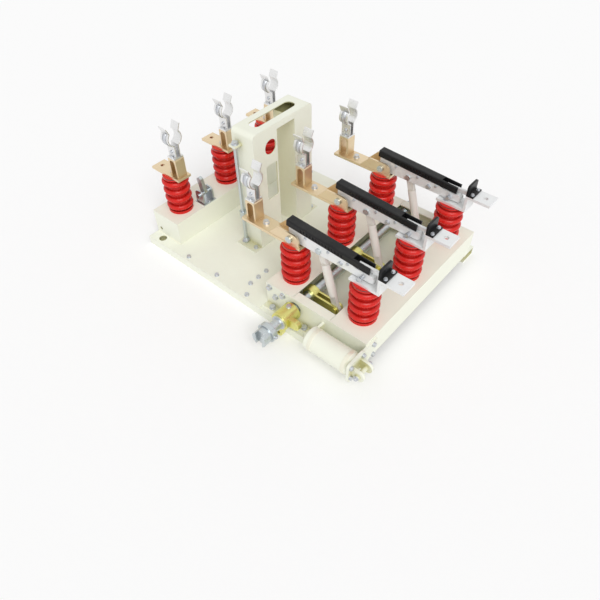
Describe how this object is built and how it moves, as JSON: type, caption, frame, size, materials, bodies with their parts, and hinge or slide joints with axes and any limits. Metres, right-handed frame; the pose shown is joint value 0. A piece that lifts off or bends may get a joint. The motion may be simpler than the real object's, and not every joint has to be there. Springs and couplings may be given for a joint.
{
  "type": "fused load break switch",
  "caption": "Three-pole indoor load break switch lying on its sheet-steel frame, with ribbed post insulators, knife blades, arc chutes, pull rods and empty fuse clips.",
  "frame": {"origin": "centre of the four frame mounting holes, on the plane the frame is bolted against", "axes": "+X from the fuse posts towards the cable contacts, +Y from the drive side across the poles, +Z away from the mounting plane"},
  "size_m": [0.927, 0.752, 0.435],
  "materials": {
    "frame_paint": "satin",
    "red_resin": "gloss",
    "silver_plate": "satin",
    "spring_silver": "satin",
    "copper_bar": "satin",
    "black_moulding": "satin",
    "yellow_zinc": "satin",
    "bright_steel": "satin",
    "white_resin": "satin"
  },
  "bodies": {
    "frame": {"front_rail": "frame_paint", "rear_rail": "frame_paint", "fuse_beam": "frame_paint", "hinge_beam": "frame_paint", "contact_beam": "frame_paint", "front_side_plate": "frame_paint", "rear_side_plate": "frame_paint", "bay_pan": "frame_paint", "portal": "frame_paint", "spring_tube": "frame_paint", "fuse_post_1": "red_resin", "fuse_post_2": "red_resin", "fuse_post_3": "red_resin", "hinge_post_1": "red_resin", "hinge_post_2": "red_resin", "hinge_post_3": "red_resin", "contact_post_1": "red_resin", "contact_post_2": "red_resin", "contact_post_3": "red_resin", "portal_rod": "bright_steel", "trip_bracket": "bright_steel", "fuse_terminals": "copper_bar", "hinge_contacts": "copper_bar", "fixed_contacts": "silver_plate", "upper_clips": "spring_silver", "lower_clips": "spring_silver", "arc_barriers": "black_moulding", "arcing_fingers": "silver_plate", "shaft_bearings": "bright_steel"},
    "shaft": {"main_shaft": "bright_steel", "shaft_cranks": "yellow_zinc", "operating_lever": "yellow_zinc", "drive_coupling": "bright_steel"},
    "blade_arm_1": {"blade_1": "silver_plate", "chute_1": "black_moulding", "blade_pins_1": "bright_steel"},
    "rod_link_1": {"pull_rod_1": "white_resin"},
    "blade_arm_2": {"blade_2": "silver_plate", "chute_2": "black_moulding", "blade_pins_2": "bright_steel"},
    "rod_link_2": {"pull_rod_2": "white_resin"},
    "blade_arm_3": {"blade_3": "silver_plate", "chute_3": "black_moulding", "blade_pins_3": "bright_steel"},
    "rod_link_3": {"pull_rod_3": "white_resin"}
  },
  "joints": [
    {"name": "shaft_turn", "type": "hinge", "parent": "frame", "child": "shaft", "pos_m": [0.18875, 0, 0.08], "axis": [0, -1, 0], "range_deg": [0, 65]},
    {"name": "blade_1_swing", "type": "hinge", "parent": "frame", "child": "blade_arm_1", "pos_m": [0.13, -0.21, 0.268], "axis": [0, -1, 0], "range_deg": [0, 65]},
    {"name": "rod_1_swing", "type": "hinge", "parent": "shaft", "child": "rod_link_1", "pos_m": [0.27805, -0.21, 0.08], "axis": [0, -1, 0], "range_deg": [-65, 0]},
    {"name": "blade_2_swing", "type": "hinge", "parent": "frame", "child": "blade_arm_2", "pos_m": [0.13, 0, 0.268], "axis": [0, -1, 0], "range_deg": [0, 65]},
    {"name": "rod_2_swing", "type": "hinge", "parent": "shaft", "child": "rod_link_2", "pos_m": [0.27805, 0, 0.08], "axis": [0, -1, 0], "range_deg": [-65, 0]},
    {"name": "blade_3_swing", "type": "hinge", "parent": "frame", "child": "blade_arm_3", "pos_m": [0.13, 0.21, 0.268], "axis": [0, -1, 0], "range_deg": [0, 65]},
    {"name": "rod_3_swing", "type": "hinge", "parent": "shaft", "child": "rod_link_3", "pos_m": [0.27805, 0.21, 0.08], "axis": [0, -1, 0], "range_deg": [-65, 0]}
  ],
  "couplings": [
    {"joint": "blade_1_swing", "follows": "shaft_turn", "ratio": 1},
    {"joint": "rod_1_swing", "follows": "shaft_turn", "ratio": -1},
    {"joint": "blade_2_swing", "follows": "shaft_turn", "ratio": 1},
    {"joint": "rod_2_swing", "follows": "shaft_turn", "ratio": -1},
    {"joint": "blade_3_swing", "follows": "shaft_turn", "ratio": 1},
    {"joint": "rod_3_swing", "follows": "shaft_turn", "ratio": -1}
  ]
}
